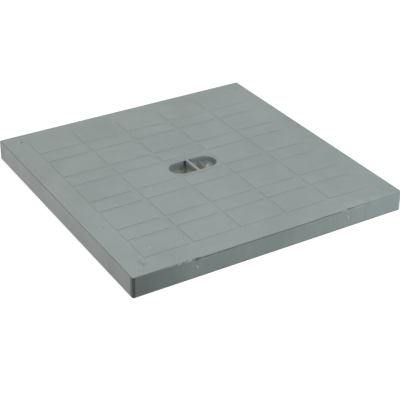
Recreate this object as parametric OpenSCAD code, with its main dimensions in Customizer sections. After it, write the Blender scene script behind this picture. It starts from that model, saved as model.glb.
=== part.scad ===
// Square inspection cover
//
// A one-piece moulded cover for a square inspection chamber. It has a flat top with a low tile
// pattern, a plain skirt with a slight draft, a finger recess crossed by a bar in the middle, and
// a grid of ribs underneath.
//
// All sizes are in millimetres. The origin lies in the middle of the cover on the surface it rests
// on, +Z points up and -Y is the side that carries the two pips in plain view.

/* [Overall size] */
// side of the square top, measured between the upright faces at the top
cover_w = 400; // [360:2:460]
// height from the surface it rests on to the flat of the top, without the tiles
cover_h = 28.5; // [27:0.5:40]
// radius of the four upright corners
corner_r = 2; // [2:0.5:6]
// how far each side stands out further at the bottom than at the top
side_draft = 0.3; // [0.2:0.1:1.5]
// radius of the rounded edge round the top
edge_r = 1.2; // [0.6:0.1:1.6]

/* [Walls] */
// thickness of the top plate
plate_t = 3; // [2.5:0.25:4]
// thickness of the skirt at the top
skirt_t = 3; // [2:0.25:4]

/* [Tile pattern] */
// height of the tiles above the flat of the top
tile_h = 0.4; // [0.2:0.1:1.2]
// width of the sunken lines between the tiles
tile_gap = 7; // [4:0.5:10]
// plain border left and right of the tiles
border_x = 32.3; // [28:0.5:38]
// plain border in front of the tiles and behind them
border_y = 31; // [28:0.5:38]
// number of tile columns
tile_cols = 5; // [3:2:7]
// number of wide rows, with one narrow row between each two of them
wide_rows = 5; // [3:2:7]
// depth of a narrow row as a share of a wide one
narrow_share = 0.5; // [0.35:0.05:0.8]
// depth of the first and last row as a share of a wide one
outer_share = 0.857; // [0.7:0.01:1]

/* [Finger recess] */
// length of the recess between its round ends, at the wall below the rounded lip
recess_l = 70.5; // [66:0.5:90]
// width of the recess
recess_w = 32.5; // [31:0.5:38]
// depth of the recess below the flat of the top
recess_d = 15; // [14:0.5:17]
// radius between the floor of the recess and its walls, and between the floor and the bar
floor_r = 12; // [8:0.5:12.5]
// how far each wall and each side of the bar leans in above the floor radius
recess_draft = 1; // [0.5:0.1:1.5]
// radius of the rounded lip round the recess
lip_r = 0.6; // [0.4:0.1:1.2]
// thickness of the wall and floor of the recess
recess_t = 2.5; // [2:0.25:3.5]
// width of the flat ring kept free of tiles round the recess
ring_w = 4; // [2:0.5:5]
// width of the bar across the recess at its top
bar_w = 4.5; // [3:0.5:6]

/* [Corner marks] */
// distance of each mark from the two edges beside it
mark_inset = 20; // [19:0.5:21]
// width of each round mark in the top
mark_d = 11; // [8:0.5:12]
// depth of each mark
mark_depth = 1; // [0.3:0.1:1.2]
// width of the hollow boss below each mark
boss_d = 15; // [14:0.5:16]
// bore of the hollow boss
boss_bore = 6; // [4:0.5:8]

/* [Pips] */
// distance between the two pips on the front and on the back
pip_pitch = 226; // [180:2:280]
// height of the middle of the pips above the surface the cover rests on
pip_z = 13.5; // [10:0.5:18]
// radius of the round ends of a pip
pip_r = 2; // [1.5:0.25:3]
// height of the straight part between the round ends
pip_l = 2.5; // [1:0.5:5]
// how far a pip stands out of the side
pip_out = 0.9; // [0.4:0.1:1.4]

/* [Ribs] */
// number of ribs that run from front to back
ribs_x = 11; // [7:2:13]
// number of ribs that run from left to right
ribs_y = 9; // [7:2:13]
// distance of the outermost ribs from the edges of the top
rib_inset = 27; // [26.5:0.25:27.5]
// thickness of a rib
rib_t = 2; // [1.5:0.25:3]
// height of the free edge of the ribs above the surface the cover rests on
rib_clear = 2; // [0.5:0.5:4]

/* [Hidden] */
// smoothness of everything round
$fn = 64;
// steps in each rounded edge
steps = 6;
// how far pieces reach into each other where they are joined, and cuts past the surface they open
bite = 1;
// half the side of the top
half_w = cover_w / 2;
// slope of the sides from upright, in degrees
slope = atan(side_draft / cover_h);
// distance of the centre of the edge rounding from the upright face
edge_c = edge_r * (1 - sin(slope)) / cos(slope);
// number of tile rows
tile_rows = 2 * wide_rows - 1;
// size of the tile field
field_w = cover_w - 2 * border_x;
field_d = cover_w - 2 * border_y;
// width of a tile and depth of a tile in a wide row
tile_w = (field_w - (tile_cols - 1) * tile_gap) / tile_cols;
wide_d = (field_d - (tile_rows - 1) * tile_gap)
    / (wide_rows - 2 + (wide_rows - 1) * narrow_share + 2 * outer_share);
// radius of the round ends of the recess and half the distance between their centres
recess_r = recess_w / 2;
recess_c = recess_l / 2 - recess_r;
// underside of the top plate
plate_z = cover_h - plate_t;
// span between the outermost ribs
rib_span = cover_w - 2 * rib_inset;

// depth of tile row i, counted from the front
function row_d(i) =
    i == 0 || i == tile_rows - 1 ? outer_share * wide_d
    : i % 2 == 0 ? wide_d
    : narrow_share * wide_d;

// front edge of tile row i
function row_y(i) = i == 0 ? -field_d / 2 : row_y(i - 1) + row_d(i - 1) + tile_gap;

// points on an arc about c from angle a to angle b
function arc(c, r, a, b) =
    [for (i = [0:steps]) let (t = a + (b - a) * i / steps) c + r * [cos(t), sin(t)]];

// side of the cover from the bottom edge to the flat of the top, at distance w from the middle
function side_line(w) =
    concat([[w + side_draft, 0]], arc([w - edge_c, cover_h - edge_r], edge_r, slope, 90));

// wall of the recess from its lip to its floor, as distance from the middle and height
function recess_line() =
    concat(
        [[recess_r + lip_r, cover_h + tile_h + bite]],
        arc([recess_r + lip_r, cover_h - lip_r], lip_r, 90, 180),
        arc(
            [recess_r - recess_draft - floor_r, cover_h - recess_d + floor_r],
            floor_r, 0, -90
        )
    );

// outside of the recess wall under the plate
function recess_back_line() =
    concat(
        [[recess_r + recess_t, plate_z + bite]],
        arc(
            [recess_r - recess_draft - floor_r, cover_h - recess_d + floor_r],
            floor_r + recess_t, 0, -90
        )
    );

// side of the bar from below the floor of the recess to its top
function bar_line() =
    let (foot = bar_w / 2 + recess_draft + floor_r)
    concat(
        [[foot, cover_h - recess_d - bite]],
        arc([foot, cover_h - recess_d + floor_r], floor_r, 270, 180),
        [[bar_w / 2, cover_h]]
    );

// a line of points turned over to the other side of the middle, in reverse order
function turned(p) = [for (i = [len(p) - 1:-1:0]) [-p[i][0], p[i][1]]];

// bar with the section between a line of points and its mirror image, running along x
module run(p, length) {
    rotate([90, 0, 90])
        translate([0, 0, -length / 2])
            linear_extrude(length)
                polygon(concat(p, turned(p)));
}

// part of a turned shape with the half section given by a line of points
module turn(p, from, sweep) {
    rotate([0, 0, from])
        rotate_extrude(angle = sweep)
            polygon(concat([[0, p[0][1]]], p, [[0, p[len(p) - 1][1]]]));
}

// solid block in the outer shape of the cover
module block() {
    straight = cover_w - 2 * corner_r;
    run(side_line(half_w), straight);
    rotate([0, 0, 90])
        run(side_line(half_w), straight);
    for (i = [0:3])
        rotate([0, 0, 90 * i])
            translate([straight / 2, straight / 2, 0])
                turn(side_line(corner_r), 0, 90);
}

// small upright pips with round ends on the front and back
module pips() {
    for (x = [-1, 1], y = [-1, 1])
        translate([
            x * pip_pitch / 2,
            y * (half_w + side_draft * (1 - pip_z / cover_h) - pip_r + pip_out),
            pip_z - pip_l / 2
        ]) {
            cylinder(r = pip_r, h = pip_l);
            for (z = [0, pip_l])
                translate([0, 0, z])
                    sphere(r = pip_r);
        }
}

// top plate and skirt
module shell() {
    inner = cover_w - 2 * skirt_t;
    difference() {
        union() {
            block();
            pips();
        }
        translate([-inner / 2, -inner / 2, -bite])
            cube([inner, inner, plate_z + bite]);
    }
}

// low tiles on the top, cleared for the ring round the recess
module tiles() {
    difference() {
        for (c = [0:tile_cols - 1], r = [0:tile_rows - 1])
            translate([-field_w / 2 + c * (tile_w + tile_gap), row_y(r), cover_h - bite])
                cube([tile_w, row_d(r), tile_h + bite]);
        translate([0, 0, cover_h - 2 * bite])
            linear_extrude(tile_h + 3 * bite)
                ring_outline();
    }
}

// outline of the flat ring round the recess
module ring_outline() {
    square([2 * recess_c, 2 * (recess_r + ring_w)], center = true);
    for (x = [-1, 1])
        translate([x * recess_c, 0])
            circle(r = recess_r + ring_w);
}

// long hollow with round ends, its wall given by a line of points
module trough(p) {
    run(p, 2 * recess_c);
    translate([recess_c, 0, 0])
        turn(p, -90, 180);
    translate([-recess_c, 0, 0])
        turn(p, 90, 180);
}

// bar across the recess that the fingers hold, its sides rounded out to the floor
module bar() {
    rotate([0, 0, 90])
        run(bar_line(), 2 * (recess_r + lip_r + bite));
}

// ribs under the top plate
module ribs() {
    long = cover_w - 2 * skirt_t + 2 * bite;
    tall = plate_z - rib_clear + bite;
    for (i = [0:ribs_x - 1])
        translate([-rib_span / 2 + i * rib_span / (ribs_x - 1) - rib_t / 2, -long / 2, rib_clear])
            cube([rib_t, long, tall]);
    for (i = [0:ribs_y - 1])
        translate([-long / 2, -rib_span / 2 + i * rib_span / (ribs_y - 1) - rib_t / 2, rib_clear])
            cube([long, rib_t, tall]);
}

// places a shape below or in each corner mark
module at_marks() {
    for (x = [-1, 1], y = [-1, 1])
        translate([x * (half_w - mark_inset), y * (half_w - mark_inset), 0])
            children();
}

// the whole cover
module cover() {
    color([0.56, 0.61, 0.60])
        difference() {
            union() {
                shell();
                tiles();
                ribs();
                trough(recess_back_line());
                at_marks()
                    translate([0, 0, rib_clear])
                        cylinder(d = boss_d, h = plate_z - rib_clear + bite);
            }
            difference() {
                trough(recess_line());
                bar();
            }
            at_marks()
                translate([0, 0, cover_h - mark_depth])
                    cylinder(
                        d1 = mark_d - 2 * mark_depth, d2 = mark_d + 2 * bite, h = mark_depth + bite
                    );
            at_marks()
                translate([0, 0, -bite])
                    cylinder(d = boss_bore, h = plate_z + bite);
        }
}

cover();
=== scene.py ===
import math
from functools import partial

import bmesh
import bpy
import numpy as np
from bpy.props import FloatProperty, FloatVectorProperty, IntProperty, PointerProperty
from bpy.types import Operator, Panel, PropertyGroup
from mathutils import Matrix, Vector, noise


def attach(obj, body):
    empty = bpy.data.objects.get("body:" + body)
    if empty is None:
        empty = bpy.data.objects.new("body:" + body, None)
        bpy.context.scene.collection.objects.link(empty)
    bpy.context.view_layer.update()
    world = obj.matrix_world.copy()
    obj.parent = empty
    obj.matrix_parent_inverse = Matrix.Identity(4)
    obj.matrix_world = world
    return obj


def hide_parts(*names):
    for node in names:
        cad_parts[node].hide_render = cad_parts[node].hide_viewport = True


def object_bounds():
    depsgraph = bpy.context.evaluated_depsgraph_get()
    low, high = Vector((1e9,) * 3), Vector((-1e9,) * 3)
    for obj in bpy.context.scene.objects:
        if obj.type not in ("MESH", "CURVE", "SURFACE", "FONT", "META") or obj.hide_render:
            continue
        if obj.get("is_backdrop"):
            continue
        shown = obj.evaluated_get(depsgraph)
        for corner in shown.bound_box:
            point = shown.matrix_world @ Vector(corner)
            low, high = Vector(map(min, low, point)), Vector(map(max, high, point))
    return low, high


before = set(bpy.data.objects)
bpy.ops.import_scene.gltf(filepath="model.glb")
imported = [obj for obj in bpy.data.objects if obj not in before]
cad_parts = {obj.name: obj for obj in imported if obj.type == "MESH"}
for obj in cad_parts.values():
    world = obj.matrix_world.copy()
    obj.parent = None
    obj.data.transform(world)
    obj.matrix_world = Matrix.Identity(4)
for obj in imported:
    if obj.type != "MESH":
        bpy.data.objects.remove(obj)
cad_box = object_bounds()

bl_info = {
    "name": "Square inspection cover",
    "version": (1, 0, 0),
    "blender": (4, 5, 0),
    "location": "View3D > Sidebar > Cover",
    "description": "A moulded cover with a tile tread, a barred finger recess and a ribbed underside",
    "category": "Add Mesh",
}

MM = 0.001
NODE = "cover"
BODY = "root"


# Properties


def length(name, text, mm, low=0.0):
    """A length property whose default is given in millimetres and kept in metres."""
    return FloatProperty(
        name=name, description=text, default=mm * MM, min=low * MM, subtype="DISTANCE", unit="LENGTH"
    )


def linear(code):
    """The linear red, green and blue of an sRGB hex colour."""
    values = [int(code[i : i + 2], 16) / 255 for i in (1, 3, 5)]
    return tuple(v / 12.92 if v <= 0.04045 else ((v + 0.055) / 1.055) ** 2.4 for v in values)


def tint(name, text, code):
    """A colour property whose default is an sRGB hex colour."""
    return FloatVectorProperty(
        name=name, description=text, default=linear(code), min=0.0, max=1.0, size=3, subtype="COLOR"
    )


def share(name, text, value, low=0.0):
    """A property for a share of at most 1."""
    return FloatProperty(
        name=name, description=text, default=value, min=low, max=1.0, subtype="FACTOR"
    )


def number(name, text, value, low):
    """A property for a count."""
    return IntProperty(name=name, description=text, default=value, min=low)


def angle(name, text, degrees):
    """An angle property whose default is given in degrees."""
    return FloatProperty(
        name=name, description=text, default=math.radians(degrees), subtype="ANGLE", unit="ROTATION"
    )


class CoverBodySizes(PropertyGroup):
    """Plate, skirt, corner marks and bosses."""

    side: length("Side", "Side of the square top between its upright faces", 400)
    height: length("Height", "Height from the floor to the flat of the top", 28.5)
    corner_radius: length("Corner radius", "Radius of the four upright corners", 2)
    inner_corner: length("Inner corner", "Radius of the upright corners inside the skirt", 1.5)
    side_draft: length("Side draft", "How much further each side stands out at the bottom", 0.3)
    edge_radius: length("Edge radius", "Radius of the rounded edge round the top", 1.2)
    rim_radius: length("Rim radius", "Radius of the two bottom edges of the skirt", 0.4)
    plate: length("Plate", "Thickness of the top plate", 3)
    skirt: length("Skirt", "Thickness of the skirt at the top", 3)
    fillet: length("Fillet", "Radius where skirt and recess meet the underside of the plate", 0.8)
    mark_inset: length("Mark inset", "Distance of a corner mark from the two edges beside it", 20)
    mark_width: length("Mark width", "Width of a corner mark", 11)
    mark_depth: length("Mark depth", "Depth of a corner mark", 1)
    boss_width: length("Boss width", "Width of the hollow boss under a corner mark", 15)
    boss_bore: length("Boss bore", "Bore of the hollow boss", 6)
    mesh_step: length("Mesh step", "Distance between points along the sides", 1.5, 0.5)


class CoverTileSizes(PropertyGroup):
    """The low tiles of the tread."""

    height: length("Tile height", "Height of a tile above the flat of the top", 0.4)
    gap: length("Gap", "Width of the sunken lines between the tiles", 7)
    border_x: length("Side border", "Plain border left and right of the tiles", 32.3)
    border_y: length("Front border", "Plain border in front of the tiles and behind them", 31)
    edge: length("Tile edge", "Width of the softened edge round a tile", 1.1)
    columns: number("Columns", "Tiles from left to right", 5, 1)
    wide_rows: number("Wide rows", "Wide rows, with a narrow row between each two", 5, 2)
    narrow_share: share("Narrow share", "Depth of a narrow row as a share of a wide one", 0.5, 0.1)
    outer_share: share("Outer share", "Depth of the outer rows as a share of a wide one", 0.857, 0.1)


class CoverRecessSizes(PropertyGroup):
    """The finger recess and the bar across it."""

    length: length("Recess length", "Length between the round ends", 70.5)
    width: length("Recess width", "Width of the recess", 32.5)
    depth: length("Recess depth", "Depth below the flat of the top", 15)
    floor_radius: length("Floor radius", "Radius from the floor to the walls and to the bar", 12)
    draft: length("Recess draft", "How far each wall leans in above the floor radius", 1)
    lip: length("Lip", "Radius of the rounded lip", 0.6)
    wall: length("Recess wall", "Thickness of the wall and floor", 2.5)
    ring: length("Ring", "Width of the flat ring kept free of tiles", 4)
    bar_width: length("Bar width", "Width of the bar at its top", 4.5)
    corner: length("Pocket corner", "Radius of the upright corners beside the bar at the top", 0.4)
    corner_growth: share("Corner growth", "How fast those corners widen as the pocket narrows", 0.35)


class CoverRibSizes(PropertyGroup):
    """The lattice of ribs underneath."""

    across: number("Ribs across", "Ribs that run from front to back", 11, 2)
    deep: number("Ribs deep", "Ribs that run from left to right", 9, 2)
    inset: length("Rib inset", "Distance of the outermost ribs from the edges of the top", 27)
    thickness: length("Rib thickness", "Thickness of a rib", 2)
    clearance: length("Rib clearance", "Height of the free edge of the ribs above the floor", 2)
    edge: length("Rib edge", "Width of the softened free edge of a rib", 0.3)
    sink_depth: length("Sink depth", "Depth of the sink marks that rib ends leave in the skirt", 0.12)
    sink_width: length("Sink width", "Width of such a sink mark", 6)


class CoverPipSizes(PropertyGroup):
    """The small upright pips on the front and back."""

    pitch: length("Pip pitch", "Distance between the two pips of a side", 226)
    height: length("Pip height", "Height of the middle of the pips above the floor", 13.5)
    radius: length("Pip radius", "Radius of the round ends of a pip", 2)
    run: length("Pip run", "Height of the straight part between the round ends", 2.5)
    out: length("Pip out", "How far a pip stands out of the side", 0.9)


class CoverWearSizes(PropertyGroup):
    """The parting step and the damage along the front edge."""

    step_from: length("Step from", "Left end of the parting step, from the middle", -110, -200)
    step_to: length("Step to", "Right end of the parting step, from the middle", 103, -200)
    step_top: length("Step top", "Depth of the top of the step below the flat of the top", 1.8)
    step_height: length("Step height", "Height of the step", 1.6)
    step_depth: length("Step depth", "How far the step cuts into the front face", 1.3)
    step_lip: length("Step lip", "How far the flash below the step stands out", 0.12)
    edge_out: length("Edge out", "How far the sharp edge above the step stands out", 0.6)
    burr_from: length("Burr from", "Left end of the chewed stretch of edge", -153, -200)
    burr_to: length("Burr to", "Right end of the chewed stretch of edge", -117, -200)
    burr_size: length("Burr size", "How far the chewed edge wanders in and out", 0.3)
    notch_depth: length("Notch depth", "Depth of the notch between the burr and the step", 0.9)


class CoverFinish(PropertyGroup):
    """Colours of the moulded plastic, of what lies on it, and of painted light and shade."""

    plastic: tint("Plastic", "Grey of the moulded polypropylene", "#96a09f")
    plastic_dull: tint("Dull plastic", "The same plastic where the surface is duller", "#919b99")
    gap_tone: tint("Gap tone", "Plastic in the sunken lines between the tiles", "#8d9795")
    # also a painted highlight on the tile edges, above the step, in the right pocket and along the front
    # edge
    whitened_and_highlight: tint("Whitened plastic", "Plastic that was scraped or stretched", "#ccd4d1")
    # also darkens the deepest parts of the pockets and the back and right of the front left corner mark
    # as painted shade
    residue_and_shade: tint("Residue", "Brown residue low in the pockets of the recess", "#484024")
    # painted shade in the corners beside the bar and low in the left pocket
    painted_crease_shade: tint("Grime", "Dark grime in the corners beside the bar", "#30352f")
    # painted shade along the rounded edges, the left corners, the foot of the skirt, the left end of the
    # front and in the parting step
    painted_edge_shade: tint("Edge grime", "Dull dark film that handling leaves on the rounded edges", "#3e413c")
    # also painted shade on the right walls of three corner marks
    dark_speck_and_shade: tint("Dark speck", "Small dark dirt on the tread", "#6f7a79")
    # also painted light on the left walls of three corner marks
    light_speck_and_highlight: tint("Light speck", "Small light scuff on the tread", "#b3bcbb")


class CoverStage(PropertyGroup):
    """Floor, lamps and camera."""

    azimuth: angle("Camera azimuth", "Angle round the cover, 0 looks along +Y", -31.386)
    elevation: angle("Camera elevation", "Angle above the horizon", 30.401)
    roll: angle("Camera roll", "Turn of the picture about its own middle", 0.521)
    distance: length("Camera distance", "Distance from the camera to its aim", 1494.6)
    aim_right: length("Aim right", "How far the aim lies right of the middle", 10.36, -500)
    aim_down: length("Aim down", "How far the aim lies below the middle", 48.21, -500)
    lens: FloatProperty(
        name="Lens", description="Focal length in millimetres on a 36 mm sensor", default=98.43, min=1.0,
        subtype="DISTANCE_CAMERA"
    )
    floor_size: length("Floor size", "Side of the square floor", 12000)


class CoverSettings(PropertyGroup):
    """All sizes and colours of the cover."""

    body: PointerProperty(type=CoverBodySizes)
    tiles: PointerProperty(type=CoverTileSizes)
    recess: PointerProperty(type=CoverRecessSizes)
    ribs: PointerProperty(type=CoverRibSizes)
    pips: PointerProperty(type=CoverPipSizes)
    wear: PointerProperty(type=CoverWearSizes)
    finish: PointerProperty(type=CoverFinish)
    stage: PointerProperty(type=CoverStage)


# Mesh helpers


def new_object(name, data=None):
    """A new object at the origin, in the scene."""
    obj = bpy.data.objects.new(name, data if data is not None else bpy.data.meshes.new(name))
    bpy.context.scene.collection.objects.link(obj)
    return obj


def arc(centre, radius, start, end, steps):
    """Points on an arc about a centre from one angle to another, in degrees."""
    angles = np.radians(np.linspace(start, end, steps + 1))
    return [(centre[0] + radius * math.cos(a), centre[1] + radius * math.sin(a)) for a in angles]


def square_ring(count, corner_steps):
    """Points round a rounded square of half side 1, as corner centres and outward directions.

    A ring is reach * centres + radius * outward, so one set serves every level of the skirt.
    """
    along = np.linspace(-1, 1, count + 1)
    turn = np.linspace(0, math.pi / 2, corner_steps + 1)[1:-1]
    centres = np.array([(t, -1) for t in along] + [(1, -1)] * len(turn))
    outward = np.array([(0, -1)] * len(along) + [(math.sin(t), -math.cos(t)) for t in turn])
    quarter = np.array([(0, 1), (-1, 0)])
    rings = [(centres, outward)]
    for _ in range(3):
        rings.append(tuple(part @ quarter for part in rings[-1]))
    return tuple(np.concatenate(parts) for parts in zip(*rings))


def stadium_ring(run, step, end_steps):
    """Points round a shape with straight sides and round ends, given as square_ring gives them."""
    reach = run / 2
    along = np.linspace(-reach, reach, max(2, round(run / step)) + 1)
    turn = np.linspace(-90, 90, end_steps + 1)[1:-1]
    centres = np.array([(t, 0) for t in along] + [(reach, 0)] * len(turn), float)
    outward = np.array([(0, -1)] * len(along) + [(math.cos(a), math.sin(a)) for a in np.radians(turn)])
    return np.concatenate([centres, -centres]), np.concatenate([outward, -outward])


def pocket_ring(recess, inset, end_steps):
    """Points round one pocket of the recess, right of the bar, drawn in by an inset."""
    radius = recess.width / 2 - inset
    near = recess.bar_width / 2 + inset
    centre = (recess.length - recess.width) / 2
    corner = min(recess.corner + recess.corner_growth * max(0.0, inset), 0.9 * radius)
    points = arc((near + corner, corner - radius), corner, 180, 270, 6)
    points += [(x, -radius) for x in np.linspace(near + corner, centre, 12)[1:-1]]
    points += arc((centre, 0), radius, -90, 90, end_steps)
    points += [(x, radius) for x in np.linspace(centre, near + corner, 12)[1:-1]]
    points += arc((near + corner, radius - corner), corner, 90, 180, 6)
    points += [(near, y) for y in np.linspace(radius - corner, corner - radius, 16)[1:-1]]
    return np.array(points)


def circle_ring(x, y, steps):
    """Points round a circle, given as square_ring gives them."""
    angles = np.linspace(0, 2 * math.pi, steps, endpoint=False)
    return np.full((steps, 2), (x, y)), np.column_stack([np.cos(angles), np.sin(angles)])


def loft(bm, ring, profile):
    """Skins a ring along a profile of radius, height and, where it changes, the scale of the centres.

    Gives the first and last edge loop.
    """
    centres, outward = ring
    return skin(bm, [
        (centres * (scale[0] if scale else 1) + radius * outward, height)
        for radius, height, *scale in profile
    ])


def skin(bm, rows):
    """Joins rows of points, each with its height, and gives the first and last edge loop."""
    levels = [[bm.verts.new((x, y, height)) for x, y in points] for points, height in rows]
    count = len(levels[0])
    for low, high in zip(levels, levels[1:]):
        for i in range(count):
            j = (i + 1) % count
            bm.faces.new((low[i], low[j], high[j], high[i]))
    loops = []
    for level in (levels[0], levels[-1]):
        pairs = zip(level, level[1:] + level[:1])
        loops.append([bm.edges.get(pair) or bm.edges.new(pair) for pair in pairs])
    return loops


def fill(bm, *loops):
    """Closes the flat area between an outer edge loop and the loops inside it."""
    bmesh.ops.triangle_fill(bm, use_beauty=True, edges=[edge for loop in loops for edge in loop])


def close_mesh(bm, name):
    """Writes a closed bmesh into a new object, with its faces outward."""
    bmesh.ops.recalc_face_normals(bm, faces=bm.faces)
    obj = new_object(name)
    bm.to_mesh(obj.data)
    bm.free()
    return obj


def hand_over(obj, material, sharp=35):
    """Turns an object and its modifiers into a plain mesh and gives it to the frame.

    The mesh is smooth where it turns by less than the sharp angle, and its flats stay flat.
    """
    obj.data.shade_smooth()
    obj.data.set_sharp_from_angle(angle=math.radians(sharp))
    weighted = obj.modifiers.new("Flat faces lead", "WEIGHTED_NORMAL")
    weighted.keep_sharp = True
    graph = bpy.context.evaluated_depsgraph_get()
    mesh = bpy.data.meshes.new_from_object(
        obj.evaluated_get(graph), preserve_all_data_layers=True, depsgraph=graph
    )
    old = obj.data
    obj.modifiers.clear()
    obj.data = mesh
    bpy.data.meshes.remove(old)
    mesh.name = obj.name
    mesh.materials.clear()
    mesh.materials.append(material)
    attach(obj, BODY)
    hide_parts(NODE)


def ramp(values, start, end):
    """0 before start, 1 after end and a smooth rise between them."""
    t = np.clip((np.asarray(values, float) - start) / (end - start), 0, 1)
    return t * t * (3 - 2 * t)


def hump(value, start, full, fade, end):
    """0 outside start and end, 1 from full to fade and smooth slopes between them."""
    return ramp(value, start, full) * (1 - ramp(value, fade, end))


# Node helpers


def add(tree, kind, *values, inputs=None, **settings):
    """Adds a node, with its settings, then its values in the order of its inputs.

    A node or socket is linked, several are linked to one input, None leaves an input as it is and
    anything else is set on it. inputs names the inputs that come out of order.
    """
    node = tree.nodes.new(kind)
    for key, value in settings.items():
        setattr(node, key, value)
    open_inputs = [socket for socket in node.inputs if socket.enabled]
    pairs = list(zip(open_inputs, values))
    pairs += [(node.inputs[key], value) for key, value in (inputs or {}).items()]
    for socket, value in pairs:
        for one in value if isinstance(value, list) else [value]:
            if isinstance(one, bpy.types.Node):
                one = next(out for out in one.outputs if out.enabled)
            if isinstance(one, bpy.types.NodeSocket):
                tree.links.new(one, socket)
            elif one is not None:
                socket.default_value = one
    return node


def empty_tree(owner):
    """The node tree of a material or a world, emptied."""
    owner.use_nodes = True
    owner.node_tree.nodes.clear()
    return owner.node_tree


def rule_tree(name, values):
    """A geometry tree with a named input for each of the values, and its input sockets by name."""
    kinds = {
        float: "NodeSocketFloat", int: "NodeSocketInt", bpy.types.Object: "NodeSocketObject",
        bpy.types.Material: "NodeSocketMaterial",
    }
    tree = bpy.data.node_groups.new(name, "GeometryNodeTree")
    for label, value in values.items():
        tree.interface.new_socket(label, in_out="INPUT", socket_type=kinds[type(value)])
    tree.interface.new_socket("Geometry", in_out="OUTPUT", socket_type="NodeSocketGeometry")
    return tree, tree.nodes.new("NodeGroupInput").outputs


def end_rule(tree, solid, cutter, material):
    """Cuts the shape of an object out of a solid, makes it real and gives it its material."""
    cutter = add(tree, "GeometryNodeObjectInfo", cutter)
    solid = add(
        tree, "GeometryNodeMeshBoolean", solid, cutter.outputs["Geometry"], operation="DIFFERENCE",
        solver="EXACT"
    )
    solid = add(tree, "GeometryNodeRealizeInstances", solid)
    solid = add(tree, "GeometryNodeSetMaterial", solid, inputs={"Material": material})
    add(tree, "NodeGroupOutput", solid)
    return tree


def grow(name, tree, values):
    """A new object whose mesh the tree makes from these input values."""
    obj = new_object(name)
    modifier = obj.modifiers.new("Rule", "NODES")
    modifier.node_group = tree
    for item in tree.interface.items_tree:
        if item.in_out == "INPUT":
            modifier[item.identifier] = values[item.name]
    return obj


def soften(obj, width, segments=2, angle=40):
    """Adds a bevel that softens every edge sharper than the angle."""
    bevel = obj.modifiers.new("Soft edges", "BEVEL")
    bevel.width = width
    bevel.segments = segments
    bevel.limit_method = "ANGLE"
    bevel.angle_limit = math.radians(angle)
    bevel.harden_normals = False


# Shape of the cover


def side_reach(body, z):
    """Distance of the outer face from the middle at height z, on the side or the rounded edge."""
    slope = math.atan2(body.side_draft, body.height)
    edge_centre = body.side / 2 - body.edge_radius * (1 - math.sin(slope)) / math.cos(slope)
    tangent = body.height - body.edge_radius * (1 - math.sin(slope))
    if z <= tangent:
        return body.side / 2 + body.side_draft * (1 - z / body.height)
    rise = z - (body.height - body.edge_radius)
    return edge_centre + math.sqrt(max(0.0, body.edge_radius**2 - rise**2))


def skirt_profile(body, wear):
    """Section of the skirt from the underside of the plate, round its rim and up to the flat of the top.

    Each entry is the corner radius, the height and the half side between the corner centres.
    """
    reach = body.side / 2 - body.corner_radius
    inner_reach = body.side / 2 - body.skirt - body.inner_corner
    inner = body.inner_corner
    under = body.height - body.plate
    foot = side_reach(body, body.rim_radius) - reach
    rim = body.rim_radius
    inside = arc((inner - body.fillet, under - body.fillet), body.fillet, 90, 0, 3)
    inside += arc((inner + rim, rim), rim, 180, 270, 3)
    profile = arc((foot - rim, rim), rim, 270, 360, 3)
    step_low = body.height - wear.step_top - wear.step_height
    turn_low = body.height - body.edge_radius
    plain = np.linspace(rim, step_low - 3 * MM, 9)[1:]
    fine = np.linspace(step_low - 3 * MM, turn_low, 28)[1:]
    profile += [(side_reach(body, z) - reach, z) for z in [*plain, *fine]]
    profile += arc((side_reach(body, body.height) - reach, turn_low), body.edge_radius, 0, 90, 8)[1:]
    return [(*pair, inner_reach) for pair in inside] + [(*pair, reach) for pair in profile]


def pocket_profile(body, recess):
    """How far a pocket is drawn in at each height, from the top over the lip to the floor."""
    centre = (recess.draft + recess.floor_radius, body.height - recess.depth + recess.floor_radius)
    lip = arc((-recess.lip, body.height - recess.lip), recess.lip, 90, 0, 6)
    return lip + arc(centre, recess.floor_radius, 180, 270, 16)


def bowl_profile(body, recess, grown, top):
    """Section of the outside of the recess wall, grown from the inside, from a height to its floor."""
    radius = recess.width / 2
    floor = body.height - recess.depth
    centre = (radius - recess.draft - recess.floor_radius, floor + recess.floor_radius)
    return [(radius + grown, top)] + arc(centre, recess.floor_radius + grown, 0, -90, 8)


def mark_profile(body):
    """Section of a corner mark, a shallow dish, from the flat of the top to its floor."""
    half, depth, top = body.mark_width / 2, body.mark_depth, body.height
    shares = (1, 0.97, 0.92, 0.85, 0.76, 0.65, 0.5, 0.3)
    return [(half + 0.2 * depth, top)] + [(half * s, top - depth * (1.03 - s**3.5)) for s in shares]


def mark_places(body):
    """The four places of the corner marks."""
    reach = body.side / 2 - body.mark_inset
    return [(x * reach, y * reach) for x in (-1, 1) for y in (-1, 1)]


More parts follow.
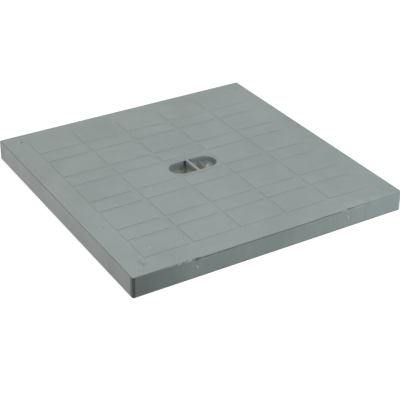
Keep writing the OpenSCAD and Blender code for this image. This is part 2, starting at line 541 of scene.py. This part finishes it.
def front_marks(x, z, body, wear):
    """The parting step and the damage along the front edge at x and height z.

    Gives how far the face is pushed in, below 0 where it stands out, how whitened it is, with a painted
    highlight above the step, and how much painted shade lies in the step and the notch, both 0 to 1.
    """
    wander = noise.noise((x / (22 * MM), 0.0, 7.0))
    ragged = noise.noise((x / (2.6 * MM), z / (1.6 * MM), 3.0))
    below = body.height - z

    # the step: steep and facing down at its top, then easing out to a thin lip of flash
    brink = wear.step_top * (1 + 0.25 * wander - 0.4 * ramp(x, 30 * MM, 80 * MM))
    level = (below - brink) / wear.step_height
    main = hump(x, wear.step_from, wear.step_from + 3 * MM, wear.step_to - MM, wear.step_to)
    rest = ramp(x, 111 * MM, 112 * MM) * (0.9 - 0.65 * ramp(x, 119 * MM, 124 * MM))
    share = (main + rest) * (0.8 + 0.5 * wander + 0.6 * ramp(x, 40 * MM, 80 * MM))
    inward = wear.step_depth * share * hump(level, 0, 0.14, 0.3, 1.0)
    # painted shade in the step, under the overhanging edge
    dirt = share * hump(level, 0, 0.1, 0.6, 1.1)
    lip = share * math.exp(-(((level - 1.15) / 0.16) ** 2))
    inward -= wear.step_lip * lip * (0.6 + ragged)

    # above the step the rounded edge gives way to a sharp one that stands out a little
    if below < brink:
        squared = side_reach(body, body.height - body.edge_radius) - side_reach(body, z)
        inward -= min(1.0, main * (0.9 + 0.4 * wander)) * (0.85 * squared + wear.edge_out)

    # the chewed stretch left of it
    burr = hump(x, wear.burr_from, wear.burr_from + 9 * MM, wear.burr_to - 2 * MM, wear.burr_to)
    burr *= hump(below, 0.2 * MM, 0.6 * MM, 2.2 * MM, 3.4 * MM)
    torn = noise.noise((x / (7 * MM), z / (3 * MM), 11.0))
    inward += wear.burr_size * burr * (torn + 0.5 * ragged)

    # the notch between the two, with painted shade in it
    across = (x - (wear.burr_to + wear.step_from) / 2) / (3.6 * MM)
    notch = math.exp(-(across**4)) * hump(below, 0.8 * MM, 1.6 * MM, 4.5 * MM, 7 * MM)
    inward += wear.notch_depth * notch
    dirt += 0.75 * notch

    # plastic turned pale at the peaks of the burr and the lip of flash, and a painted highlight above
    # the step
    white = 0.9 * burr * ramp(torn, 0, 0.3) + 0.45 * lip * ramp(ragged, -0.2, 0.2)
    highlight_share = 0.55 + 0.35 * ramp(x, 20 * MM, 60 * MM)
    white += highlight_share * main * hump(below, 0.1 * MM, 0.5 * MM, brink - 0.3 * MM, brink)

    # small flecks of torn flash: place, depth below the top, half length and half height in millimetres
    for place, depth, half_length, half_height in (
        (-104, 5.0, 6, 0.9), (-90, 4.6, 7, 0.8), (107, 2.2, 4, 1.2), (126, 4.0, 5, 0.9),
        (53, 4.4, 2.5, 0.9),
    ):
        sideways = (x - place * MM) / (half_length * MM)
        upward = (below - depth * MM) / (half_height * MM)
        fleck = math.exp(-((sideways**2 + upward**2) ** 2)) * (0.7 + 0.6 * ragged)
        inward -= 0.18 * MM * fleck
        white += 0.45 * fleck
    return inward, min(1.0, max(0.0, white)), min(1.0, max(0.0, dirt - white))


def mark_sides(mesh, body, ribs, wear):
    """Presses the sink marks of the ribs into the skirt and the worn edge into its front."""
    whitened_and_highlight, shaded_step = (mesh.attributes.new(name, "FLOAT", "POINT") for name in ("wear", "dirt"))
    outer = body.side / 2 - body.edge_radius
    straight = body.side / 2 - body.corner_radius
    for vertex in mesh.vertices:
        place = vertex.co
        for axis, count in enumerate((ribs.across, ribs.deep)):
            along, out = place[axis], place[1 - axis]
            if abs(out) < outer or abs(along) > straight:
                continue
            pitch = (body.side - 2 * ribs.inset) / (count - 1)
            nearest = round(along / pitch)
            if abs(nearest) <= (count - 1) / 2:
                off = (along - nearest * pitch) / (ribs.sink_width / 2)
                level = hump(place.z, MM, 4 * MM, 20 * MM, 25 * MM)
                depth = ribs.sink_depth * math.exp(-(off**2)) * level
                place[1 - axis] -= math.copysign(depth, out)
            if axis == 0 and out < 0 and place.z > body.height / 2:
                # the front edge: whitening with a painted highlight above the step, and painted shade in
                # the step
                inward, white, dirt = front_marks(along, place.z, body, wear)
                place[1] += inward
                whitened_and_highlight.data[vertex.index].value = white
                shaded_step.data[vertex.index].value = dirt


class COVER_OT_add_shell(Operator):
    """Adds the plate and skirt with the recess, the corner marks and the worn front edge"""

    bl_idname = "cover.add_shell"
    bl_label = "Plate and skirt"

    def execute(self, context):
        cover = context.scene.cover
        body, recess = cover.body, cover.recess
        bm = bmesh.new()
        skirt = square_ring(round(body.side / body.mesh_step), 8)
        under_loop, top_loop = loft(bm, skirt, skirt_profile(body, cover.wear))
        stadium = stadium_ring(recess.length - recess.width, body.mesh_step, 36)
        top_holes = []
        for side in (1, -1):
            rim, floor = skin(bm, [
                (side * pocket_ring(recess, inset, 36), height)
                for inset, height in pocket_profile(body, recess)
            ])
            fill(bm, floor)
            top_holes.append(rim)
        under = body.height - body.plate
        outside = recess.width / 2 + recess.wall
        shoulder = arc((outside + body.fillet, under - body.fillet), body.fillet, 90, 180, 3)
        bowl = bowl_profile(body, recess, recess.wall, under)[1:]
        bowl_loop, bottom_loop = loft(bm, stadium, shoulder + bowl)
        for x, y in mark_places(body):
            rim, floor = loft(bm, circle_ring(x, y, 40), mark_profile(body))
            fill(bm, floor)
            top_holes.append(rim)
        fill(bm, top_loop, *top_holes)
        fill(bm, under_loop, bowl_loop)
        fill(bm, bottom_loop)
        shell = close_mesh(bm, "cover_shell")
        mark_sides(shell.data, body, cover.ribs, cover.wear)
        hand_over(shell, moulded_plastic(cover), sharp=60)
        return {"FINISHED"}


def prism(name, ring, profile):
    """A closed solid between the first and last level of a lofted ring."""
    bm = bmesh.new()
    first, last = loft(bm, ring, profile)
    fill(bm, first)
    fill(bm, last)
    return close_mesh(bm, name)


def tile_rule(values):
    """Geometry nodes for the tread: one box for each tile, less the clearing round the recess."""
    tree, given = rule_tree("Tile tread", values)
    known = dict(given.items())
    known["index"] = add(tree, "GeometryNodeInputIndex")
    steps = (
        ("column", "FLOORED_MODULO", "index", "Columns"),
        ("row", "DIVIDE", "index", "Columns"),
        ("row", "FLOOR", "row"),

        # width of a tile and depth of a wide row, from what the gaps leave of the field
        ("gaps", "SUBTRACT", "Columns", 1.0),
        ("gaps", "MULTIPLY", "gaps", "Gap"),
        ("left over", "SUBTRACT", "Field Width", "gaps"),
        ("tile width", "DIVIDE", "left over", "Columns"),
        ("last row", "SUBTRACT", "Rows", 1.0),
        ("gaps", "MULTIPLY", "last row", "Gap"),
        ("left over", "SUBTRACT", "Field Depth", "gaps"),
        ("narrow rows", "MULTIPLY", "last row", 0.5),
        ("inner wide rows", "SUBTRACT", "narrow rows", 1.0),
        ("shares", "MULTIPLY_ADD", "narrow rows", "Narrow Share", "inner wide rows"),
        ("shares", "MULTIPLY_ADD", "Outer Share", 2.0, "shares"),
        ("wide depth", "DIVIDE", "left over", "shares"),

        # depth of this row: first and last, narrow or wide
        ("first", "COMPARE", "row", 0.0, 0.5),
        ("last", "COMPARE", "row", "last row", 0.5),
        ("outer", "MAXIMUM", "first", "last"),
        ("odd", "FLOORED_MODULO", "row", 2.0),
        ("share", "MIX", "odd", 1.0, "Narrow Share"),
        ("share", "MIX", "outer", "share", "Outer Share"),
        ("depth", "MULTIPLY", "share", "wide depth"),

        # front edge of this row: the rows and gaps before it
        ("narrow before", "MULTIPLY", "row", 0.5),
        ("narrow before", "FLOOR", "narrow before"),
        ("wide before", "SUBTRACT", "row", 1.0),
        ("wide before", "MAXIMUM", "wide before", 0.0),
        ("wide before", "MULTIPLY", "wide before", 0.5),
        ("wide before", "FLOOR", "wide before"),
        ("before", "MULTIPLY_ADD", "narrow before", "Narrow Share", "wide before"),
        ("past first", "SUBTRACT", 1.0, "first"),
        ("before", "MULTIPLY_ADD", "past first", "Outer Share", "before"),
        ("before", "MULTIPLY", "before", "wide depth"),
        ("before", "MULTIPLY_ADD", "row", "Gap", "before"),
        ("front", "MULTIPLY_ADD", "Field Depth", -0.5, "before"),

        # middle of this tile, its height with what is sunk into the plate, and how many there are
        ("y", "MULTIPLY_ADD", "depth", 0.5, "front"),
        ("pitch", "ADD", "tile width", "Gap"),
        ("left", "SUBTRACT", "tile width", "Field Width"),
        ("left", "MULTIPLY", "left", 0.5),
        ("x", "MULTIPLY_ADD", "column", "pitch", "left"),
        ("rise", "SUBTRACT", "Height", "Sunk"),
        ("z", "MULTIPLY_ADD", "rise", 0.5, "Flat"),
        ("thickness", "ADD", "Height", "Sunk"),
        ("count", "MULTIPLY", "Columns", "Rows"),
    )
    for name, operation, *values in steps:
        values = [known.get(value, value) for value in values]
        if operation == "MIX":
            known[name] = add(tree, "ShaderNodeMix", *values, data_type="FLOAT")
        else:
            known[name] = add(tree, "ShaderNodeMath", *values, operation=operation)
    place = add(tree, "ShaderNodeCombineXYZ", known["x"], known["y"], known["z"])
    size = add(tree, "ShaderNodeCombineXYZ", known["tile width"], known["depth"], known["thickness"])
    points = add(tree, "GeometryNodePoints", known["count"], place)
    box = add(tree, "GeometryNodeMeshCube", (1.0, 1.0, 1.0))
    tiles = add(tree, "GeometryNodeInstanceOnPoints", points, inputs={"Instance": box, "Scale": size})
    tiles = add(tree, "GeometryNodeRealizeInstances", tiles)
    return end_rule(tree, tiles, given["Clearing"], given["Material"])


class COVER_OT_add_tiles(Operator):
    """Adds the low tiles of the tread"""

    bl_idname = "cover.add_tiles"
    bl_label = "Tile tread"

    def execute(self, context):
        cover = context.scene.cover
        body, tiles, recess = cover.body, cover.tiles, cover.recess
        sunk = MM
        radius = recess.width / 2 + recess.ring
        clearing = prism("clearing", stadium_ring(recess.length - recess.width, 4 * MM, 36), [
            (radius, body.height - 2 * sunk), (radius, body.height + tiles.height + sunk),
        ])
        values = {
            "Columns": tiles.columns, "Rows": 2 * tiles.wide_rows - 1,
            "Field Width": body.side - 2 * tiles.border_x, "Field Depth": body.side - 2 * tiles.border_y,
            "Gap": tiles.gap, "Narrow Share": tiles.narrow_share, "Outer Share": tiles.outer_share,
            "Height": tiles.height, "Sunk": sunk, "Flat": body.height,
            "Clearing": clearing, "Material": moulded_plastic(cover),
        }
        tread = grow("cover_tiles", tile_rule(values), values)
        soften(tread, tiles.edge)
        hand_over(tread, moulded_plastic(cover))
        bpy.data.objects.remove(clearing)
        return {"FINISHED"}


def rib_rule(values):
    """Geometry nodes for the rib lattice: two rows of bars joined to one solid, less the recess."""
    tree, given = rule_tree("Rib lattice", values)
    maths = "ShaderNodeMath"
    index = add(tree, "GeometryNodeInputIndex")
    box = add(tree, "GeometryNodeMeshCube", (1.0, 1.0, 1.0))
    half = add(tree, maths, given["Span"], -0.5, operation="MULTIPLY")
    rows = []
    for count, turned in ((given["Across"], False), (given["Deep"], True)):
        spaces = add(tree, maths, count, 1.0, operation="SUBTRACT")
        pitch = add(tree, maths, given["Span"], spaces, operation="DIVIDE")
        place = add(tree, maths, index, pitch, half, operation="MULTIPLY_ADD")
        flat, section = [place, 0.0], [given["Thickness"], given["Length"]]
        if turned:
            flat.reverse()
            section.reverse()
        position = add(tree, "ShaderNodeCombineXYZ", *flat, given["Middle"])
        size = add(tree, "ShaderNodeCombineXYZ", *section, given["Height"])
        points = add(tree, "GeometryNodePoints", count, position)
        bars = add(tree, "GeometryNodeInstanceOnPoints", points, inputs={"Instance": box, "Scale": size})
        rows.append(add(tree, "GeometryNodeRealizeInstances", bars))
    lattice = add(
        tree, "GeometryNodeMeshBoolean", inputs={"Mesh 2": rows}, operation="UNION", solver="EXACT"
    )
    return end_rule(tree, lattice, given["Hollow"], given["Material"])


class COVER_OT_add_ribs(Operator):
    """Adds the lattice of ribs under the plate"""

    bl_idname = "cover.add_ribs"
    bl_label = "Rib lattice"

    def execute(self, context):
        cover = context.scene.cover
        body, ribs, recess = cover.body, cover.ribs, cover.recess
        profile = bowl_profile(body, recess, recess.wall / 2, body.height)
        hollow = prism("hollow", stadium_ring(recess.length - recess.width, 4 * MM, 24), profile)
        top = body.height - body.plate / 2
        values = {
            "Across": ribs.across, "Deep": ribs.deep, "Span": body.side - 2 * ribs.inset,
            "Length": body.side - body.skirt, "Thickness": ribs.thickness,
            "Height": top - ribs.clearance, "Middle": (top + ribs.clearance) / 2,
            "Hollow": hollow, "Material": moulded_plastic(cover),
        }
        lattice = grow("cover_ribs", rib_rule(values), values)
        soften(lattice, ribs.edge)
        hand_over(lattice, moulded_plastic(cover))
        bpy.data.objects.remove(hollow)
        return {"FINISHED"}


class COVER_OT_add_bosses(Operator):
    """Adds the four hollow bosses under the corner marks"""

    bl_idname = "cover.add_bosses"
    bl_label = "Corner bosses"

    def execute(self, context):
        cover = context.scene.cover
        body, low = cover.body, cover.ribs.clearance
        outer, bore, rim = body.boss_width / 2, body.boss_bore / 2, body.rim_radius
        top = body.height - body.plate / 2
        profile = [(bore, top)]
        profile += arc((bore + rim, low + rim), rim, 180, 270, 3)
        profile += arc((outer - rim, low + rim), rim, 270, 360, 3)
        profile += [(outer, top), (bore, top)]
        bm = bmesh.new()
        for x, y in mark_places(body):
            loft(bm, circle_ring(x, y, 40), profile)
        bmesh.ops.remove_doubles(bm, verts=bm.verts, dist=0.001 * MM)
        bosses = close_mesh(bm, "cover_bosses")
        hand_over(bosses, moulded_plastic(cover))
        return {"FINISHED"}


class COVER_OT_add_pips(Operator):
    """Adds the small pips on the front and back"""

    bl_idname = "cover.add_pips"
    bl_label = "Pips"

    def execute(self, context):
        cover = context.scene.cover
        body, pips = cover.body, cover.pips
        face = side_reach(body, pips.height)
        foot = math.sqrt(pips.radius**2 - (pips.radius - pips.out) ** 2)
        open_angle = math.degrees(math.asin(foot / pips.radius))
        dome = arc((0, pips.out - pips.radius), pips.radius, 90 - open_angle * 0.85, 88, 8)
        root = [(foot + 0.3 * MM, -MM), (foot + 0.3 * MM, -0.05 * MM), (foot + 0.1 * MM, 0.1 * MM)]
        profile = [*root, *dome]
        upright = tuple(part[:, ::-1] for part in stadium_ring(pips.run, MM, 14))
        bm = bmesh.new()
        for side in (-1, 1):
            turned = Matrix.Rotation(-side * math.pi / 2, 4, "X")
            for x in (-1, 1):
                before = len(bm.verts)
                first, last = loft(bm, upright, profile)
                fill(bm, first)
                fill(bm, last)
                place = Matrix.Translation((x * pips.pitch / 2, side * face, pips.height)) @ turned
                bm.verts.ensure_lookup_table()
                bmesh.ops.transform(bm, matrix=place, verts=bm.verts[before:])
        nubs = close_mesh(bm, "cover_pips")
        rubbed = moulded_plastic(cover, "Rubbed moulded polypropylene", rubbed=True)
        hand_over(nubs, rubbed, sharp=80)
        return {"FINISHED"}


# Materials


def moulded_plastic(cover, name="Moulded polypropylene", rubbed=False):
    """Grey moulded polypropylene with a satin grain.

    To the eye it is a soft, even grey with a cloudy tone, a fine grain that breaks up the light, faint
    upright flow streaks on the skirt, pale scraped spots and a little brown residue in the recess.
    Painted shade lies in the pockets, the parting step, the corner marks and along the edges, and
    painted highlights on the tile edges, the corner marks, the front edge and in the right pocket.
    """
    found = bpy.data.materials.get(name)
    if found:
        return found
    body, recess, tiles, finish = cover.body, cover.recess, cover.tiles, cover.finish
    material = bpy.data.materials.new(name)
    new = partial(add, empty_tree(material))
    maths, spread, cloudy = "ShaderNodeMath", "ShaderNodeMapRange", "ShaderNodeTexNoise"
    place = new("ShaderNodeTexCoord").outputs["Object"]
    x, y, z = new("ShaderNodeSeparateXYZ", place).outputs
    out_x = new(maths, x, operation="ABSOLUTE")
    out_y = new(maths, y, operation="ABSOLUTE")
    normal = new("ShaderNodeNewGeometry").outputs["Normal"]
    facing_x, facing_y, facing_z = new("ShaderNodeSeparateXYZ", normal).outputs
    half_side = body.side / 2

    # cloudy tone from the flow of the melt, patches 60 mm across, and a fine grain of 0.8 mm
    cloud = new(
        cloudy, inputs={"Vector": place, "Scale": 1 / (60 * MM), "Detail": 4.0, "Roughness": 0.6}
    )
    cloud = new(spread, cloud, 0.35, 0.65, 0.0, 1.0)
    tone = new(
        "ShaderNodeMix", cloud, (*finish.plastic, 1.0), (*finish.plastic_dull, 1.0), data_type="RGBA"
    )
    grain = new(cloudy, inputs={"Vector": place, "Scale": 1 / (0.8 * MM), "Detail": 2.0})
    grain_tone = new(spread, grain, 0.3, 0.7, 0.97, 1.03)

    # upright streaks on the skirt, 9 mm apart, only where the surface stands upright
    scale = (1 / (9 * MM), 1 / (9 * MM), 1 / (120 * MM))
    stretch = new("ShaderNodeMapping", place, inputs={"Scale": scale})
    streak = new(cloudy, inputs={"Vector": stretch, "Scale": 1.0, "Detail": 2.0})
    steep = new(maths, facing_z, operation="ABSOLUTE")
    upright = new(spread, steep, 0.2, 0.5, 1.0, 0.0)
    streak = new(spread, streak, 0.3, 0.7, -0.03, 0.03)
    streak = new(maths, streak, upright, grain_tone, operation="MULTIPLY_ADD")
    tone = new("ShaderNodeVectorMath", tone, inputs={"Scale": streak}, operation="SCALE")

    # each layer over the plain plastic is its colour and the factors of its strength; first dirt in the
    # sunken lines between the tiles, then painted light on the softened edges of the tiles, which
    # lightens their shade
    low = new(maths, z, body.height + 0.2 * MM, operation="LESS_THAN")
    high = new(maths, z, body.height - 0.1 * MM, operation="GREATER_THAN")
    in_x = new(maths, out_x, half_side - tiles.border_x, operation="LESS_THAN")
    in_y = new(maths, out_y, half_side - tiles.border_y, operation="LESS_THAN")
    raised = new(maths, z, body.height + 0.06 * MM, operation="GREATER_THAN")
    below = new(maths, z, body.height + tiles.height - 0.04 * MM, operation="LESS_THAN")
    layers = [(finish.gap_tone, 0.35, low, high, in_x, in_y), (finish.whitened_and_highlight, 0.7, raised, below)]

    # painted shade low in the pockets, there also brown residue; painted shade and painted light on the
    # walls of the corner marks; single specks on the tread; a painted glint in the right pocket and a
    # painted
    # sheen along the front edge: middle and reach in millimetres, strength
    ragged = new(cloudy, inputs={"Vector": place, "Scale": 1 / (6 * MM), "Detail": 2.0})
    ragged = new(spread, ragged, 0.3, 0.7, 0.75, 1.25)
    specks_and_painted_light = (
        # painted shade low in the left pocket
        (finish.painted_crease_shade, (-20, 11.5, 17, 9, 0.5)),
        # brown residue darkened as painted shade deep in both pockets, and painted shade on the back and
        # right of the front left corner mark
        (
            finish.residue_and_shade, (-9.5, 10, 16.5, 11, 0.95), (18, 8.5, 15.5, 11.5, 1.0),
            (-174, -180.4, 28, 3.8, 0.22), (-177.5, -174.6, 28, 4.8, 0.18),
        ), (
            # painted light on the left walls of three corner marks, then one light speck on the tread
            finish.light_speck_and_highlight, (-177.6, 182, 28, 3.2, 0.4), (181.1, 180.8, 28, 3.2, 0.4),
            (176.6, -178.2, 28, 3, 0.4), (-151.8, -153.3, 28.7, 2, 0.8),
        ), (
            # painted shade on the right walls of three corner marks, then dark specks on the tread
            finish.dark_speck_and_shade, (-174.8, 178.6, 28, 3, 0.6), (181.8, 176, 28, 3, 0.5),
            (181.1, -183.6, 28, 3, 0.5), (-178.4, -83.8, 28.7, 1.6, 0.8), (-63.4, -33.7, 28.7, 1.6, 0.8),
            (-56.1, 123.8, 28.7, 1.4, 0.8),
        ), (
            # a painted glint in the right pocket, then a painted sheen along the right of the front edge
            finish.whitened_and_highlight, (27.9, 6.6, 16.4, 1.8, 0.9), (118, -195, 28.5, 11, 0.12),
            (135, -195, 28.5, 10, 0.15), (157, -197, 28.5, 11, 0.14),
        ),
    )
    for shade, *places in specks_and_painted_light:
        for *middle, reach, strength in places:
            middle = tuple(value * MM for value in middle)
            away = new("ShaderNodeVectorMath", place, middle, operation="DISTANCE")
            away = new(maths, away, ragged, operation="MULTIPLY")
            layers.append((shade, new(spread, away, 0.25 * reach * MM, reach * MM, strength, 0.0)))

    # painted shade in the four upright corners beside the bar, where the walls meet
    from_bar = new(maths, out_x, recess.bar_width / 2, operation="SUBTRACT")
    from_wall = new(maths, recess.width / 2, out_y, operation="SUBTRACT")
    off = new(maths, from_bar, from_wall, operation="SUBTRACT")
    off = new(maths, off, operation="ABSOLUTE")
    corner = new(spread, off, 1.2 * MM, 3.8 * MM, 1.0, 0.0)
    both = new(maths, from_bar, from_wall, operation="MAXIMUM")
    upper = new(spread, both, 3 * MM, 8 * MM, 1.0, 0.0)
    sunk = new(maths, z, body.height - 0.6 * MM, operation="LESS_THAN")
    layers.append((finish.painted_crease_shade, corner, upper, sunk))

    # painted shade along the rounded left and right edges of the top, down the upright corners on the
    # left, most at the front one, along the foot of the skirt and on the left end of the front
    side_x = new(maths, facing_x, operation="ABSOLUTE")
    edge = new(maths, facing_z, side_x, operation="MULTIPLY")
    edge = new(spread, edge, 0.1, 0.4, 0.0, 0.5)
    rounded = new(maths, out_x, half_side - 2.5 * MM, operation="GREATER_THAN")
    left = new(maths, x, -1.0, operation="MULTIPLY")
    near = new(maths, out_y, 2 * MM, operation="ADD")
    near = new(maths, left, near, operation="MINIMUM")
    near = new(spread, near, half_side - 5 * MM, half_side - 3 * MM, 0.0, 0.95)
    back = new(spread, y, -0.1, 0.1, 1.0, 0.65)
    foot = new(spread, z, 0.0, 2 * MM, 0.5, 0.0)
    left_end = new(spread, x, -half_side, -0.3 * body.side, 0.5, 0.0)
    front = new(maths, facing_y, -0.5, operation="LESS_THAN")
    edge_shade = 0.0
    for part, *shares in ((edge, rounded), (near, upright, back), (foot, upright), (left_end, front)):
        for one in shares:
            part = new(maths, part, one, operation="MULTIPLY")
        edge_shade = new(maths, edge_shade, part, operation="MAXIMUM")
    layers.append((finish.painted_edge_shade, edge_shade))

    # painted shade in the parting step and its notch, then scraped and stretched plastic, which turns
    # pale, with a painted highlight along the edge above the step
    painted_step_shade = new("ShaderNodeAttribute", attribute_name="dirt").outputs["Fac"]
    layers.append((finish.painted_edge_shade, painted_step_shade, 0.8))
    if rubbed:
        pale = new(spread, grain, 0.3, 0.7, 0.3, 0.5)
    else:
        # the wear attribute holds the whitening of the front edge and a painted highlight above the step
        pale = new("ShaderNodeAttribute", attribute_name="wear").outputs["Fac"]
    layers.append((finish.whitened_and_highlight, pale))
    for shade, strength, *shares in layers:
        for one in shares:
            strength = new(maths, strength, one, operation="MULTIPLY")
        tone = new("ShaderNodeMix", strength, tone, (*shade, 1.0), data_type="RGBA")

    # satin grain: shallow bumps 0.5 mm across, drawn a little coarser than real so that they show, and
    # long shallow waves 30 mm apart
    bumps = new(
        cloudy, inputs={"Vector": place, "Scale": 1 / (0.5 * MM), "Detail": 3.0, "Roughness": 0.6}
    )
    waves = new(cloudy, inputs={"Vector": place, "Scale": 1 / (30 * MM), "Detail": 1.0})
    relief = new(maths, waves, 6.0, bumps, operation="MULTIPLY_ADD")
    relief = new("ShaderNodeBump", inputs={"Strength": 0.4, "Distance": 0.03 * MM, "Height": relief})
    gloss = new(spread, cloud, 0.0, 1.0, 0.46, 0.58)
    shader = new(
        "ShaderNodeBsdfPrincipled",
        inputs={"Base Color": tone, "Roughness": gloss, "IOR": 1.49, "Normal": relief},
    )
    new("ShaderNodeOutputMaterial", shader)
    return material


# Stage


# name, azimuth and elevation in degrees, distance, width and height in metres, power in watts, colour
LAMPS = (
    ("overhead", 0, 90, 1.6, 1.4, 1.4, 12, "#fffffb"),
    ("high front", 0, 60, 1.4, 1.0, 1.0, 6.0, "#e4fbfb"),
    ("high front right", 45, 60, 1.4, 1.0, 1.0, 2.35, "#c8ddff"),
    ("high back", 180, 60, 1.4, 1.0, 1.0, 3.4, "#ffddcc"),
    ("low front", 30, 1, 0.7, 0.5, 0.03, 0.99, "#fffbed"),
    ("low front right", 60, 1, 0.7, 0.5, 0.03, 0.5, "#70a8ff"),
    ("low left", -100, 1, 0.8, 0.6, 0.03, 1.87, "#fff6f6"),
    ("low right", 110, 1, 0.8, 0.6, 0.03, 0.75, "#ffe8a8"),
    ("low back", 165, 1, 0.8, 0.6, 0.03, 1.4, "#fffdfb"),
    ("below", -30, -86, 1.3, 0.2, 0.2, 5, "#fffdfb"),
)


def bearing(azimuth, elevation):
    """The direction from the cover to what stands at these angles, given in radians."""
    flat = math.cos(elevation)
    return Vector((math.sin(azimuth) * flat, -math.cos(azimuth) * flat, math.sin(elevation)))


def white_when_seen(tree, seen, other):
    """Mixes white light into a shader for what the camera sees directly or in a reflection."""
    rays = add(tree, "ShaderNodeLightPath").outputs
    shown = add(
        tree, "ShaderNodeMath", rays["Is Camera Ray"], rays["Is Glossy Ray"], operation="MAXIMUM"
    )
    shown = add(tree, "ShaderNodeMath", shown, rays["Is Transmission Ray"], operation="MAXIMUM")
    return add(tree, "ShaderNodeMixShader", shown, other, seen)


def make_world(strength):
    """An even pale world that is white to the eye."""
    world = bpy.data.worlds.new("Pale surroundings")
    bpy.context.scene.world = world
    tree = empty_tree(world)
    white = add(tree, "ShaderNodeBackground", (1.0, 1.0, 1.0, 1.0), 1.0)
    light = add(tree, "ShaderNodeBackground", (*linear("#f4f6f8"), 1.0), strength)
    add(tree, "ShaderNodeOutputWorld", white_when_seen(tree, white, light))


def make_floor(size):
    """A plain pale floor that takes a soft shadow, turns white further out and is clear from below."""
    mesh = bpy.data.meshes.new("floor")
    corners = [(x * size / 2, y * size / 2, 0) for x, y in ((-1, -1), (1, -1), (1, 1), (-1, 1))]
    mesh.from_pydata(corners, [], [(0, 1, 2, 3)])
    material = bpy.data.materials.new("Pale floor")
    new = partial(add, empty_tree(material))
    matt = new("ShaderNodeBsdfDiffuse", (*linear("#a0a0a0"), 1.0))

    # what the camera sees: a dimmed floor with a glow, which rises to white from 0.6 to 1.8 m out
    dimmed = new("ShaderNodeBsdfDiffuse", (0.3, 0.3, 0.3, 1.0))
    out = new("ShaderNodeVectorMath", new("ShaderNodeTexCoord").outputs["Object"], operation="LENGTH")
    glow = new("ShaderNodeMapRange", out, 0.6, 1.8, 0.86, 1.0)
    glow = new("ShaderNodeEmission", (1.0, 1.0, 1.0, 1.0), glow)
    seen = new("ShaderNodeAddShader", dimmed, glow)
    surface = white_when_seen(material.node_tree, seen, matt)

    # lamps below the floor shine through it, and it is clear for a camera below it
    clear = new("ShaderNodeBsdfTransparent")
    behind = new("ShaderNodeNewGeometry").outputs["Backfacing"]
    blocked = new("ShaderNodeLightPath").outputs["Is Shadow Ray"]
    through = new("ShaderNodeMath", behind, blocked, operation="MAXIMUM")
    new("ShaderNodeOutputMaterial", new("ShaderNodeMixShader", through, surface, clear))
    mesh.materials.append(material)
    new_object("floor", mesh)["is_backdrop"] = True


def make_lamp(name, azimuth, elevation, distance, width, height, power, code):
    """A soft lamp at an angle round the cover, turned towards it."""
    lamp = bpy.data.lights.new(name, "AREA")
    lamp.shape = "RECTANGLE"
    lamp.size = width
    lamp.size_y = height
    lamp.energy = power
    lamp.color = linear(code)
    back = bearing(math.radians(azimuth), math.radians(elevation))
    obj = new_object(name, lamp)
    obj.location = back * distance
    obj.rotation_euler = back.to_track_quat("Z", "Y").to_euler()


def make_camera(stage, middle):
    """The camera at the photograph's viewing angle, as far off and as framed as the stage says."""
    camera = bpy.data.cameras.new("camera")
    camera.lens = stage.lens
    camera.sensor_width = 36
    back = bearing(stage.azimuth, stage.elevation)
    right = Vector((math.cos(stage.azimuth), math.sin(stage.azimuth), 0))
    up = back.cross(right)
    aim = middle + right * stage.aim_right - up * stage.aim_down
    leaning = Matrix((right, up, back)).transposed() @ Matrix.Rotation(stage.roll, 3, "Z")
    obj = new_object("camera", camera)
    obj.matrix_world = Matrix.Translation(aim + back * stage.distance) @ leaning.to_4x4()
    bpy.context.scene.camera = obj


class COVER_OT_add_stage(Operator):
    """Adds the floor, the lamps and the camera"""

    bl_idname = "cover.add_stage"
    bl_label = "Stage"

    def execute(self, context):
        cover = context.scene.cover
        context.scene.view_settings.view_transform = "Standard"
        make_world(strength=0.01)
        make_floor(cover.stage.floor_size)
        for lamp in LAMPS:
            make_lamp(*lamp)
        make_camera(cover.stage, Vector((0, 0, cover.body.height)))
        return {"FINISHED"}


class COVER_PT_panel(Panel):
    """Lists the sizes and the pieces of the cover"""

    bl_label = "Inspection cover"
    bl_idname = "COVER_PT_panel"
    bl_space_type = "VIEW_3D"
    bl_region_type = "UI"
    bl_category = "Cover"

    def draw(self, context):
        layout = self.layout
        cover = context.scene.cover
        for operator in PIECES:
            layout.operator(operator.bl_idname)
        for part in CoverSettings.__annotations__:
            group = getattr(cover, part)
            box = layout.box()
            for name in group.__annotations__:
                box.prop(group, name)


PIECES = (
    COVER_OT_add_shell, COVER_OT_add_tiles, COVER_OT_add_ribs, COVER_OT_add_bosses, COVER_OT_add_pips,
    COVER_OT_add_stage,
)
CLASSES = (
    CoverBodySizes, CoverTileSizes, CoverRecessSizes, CoverRibSizes, CoverPipSizes, CoverWearSizes,
    CoverFinish, CoverStage, CoverSettings, *PIECES, COVER_PT_panel,
)


def register():
    for part in CLASSES:
        bpy.utils.register_class(part)
    bpy.types.Scene.cover = PointerProperty(type=CoverSettings)


def unregister():
    del bpy.types.Scene.cover
    for part in reversed(CLASSES):
        bpy.utils.unregister_class(part)


def main():
    """Makes every piece and the stage, and gathers both boxes."""
    register()
    bpy.ops.cover.add_shell()
    bpy.ops.cover.add_tiles()
    bpy.ops.cover.add_ribs()
    bpy.ops.cover.add_bosses()
    bpy.ops.cover.add_pips()
    bpy.ops.cover.add_stage()
    boxes = {"cad": cad_box, "visual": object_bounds()}
    boxes = {name: [list(corner) for corner in box] for name, box in boxes.items()}


if __name__ == "__main__":
    main()
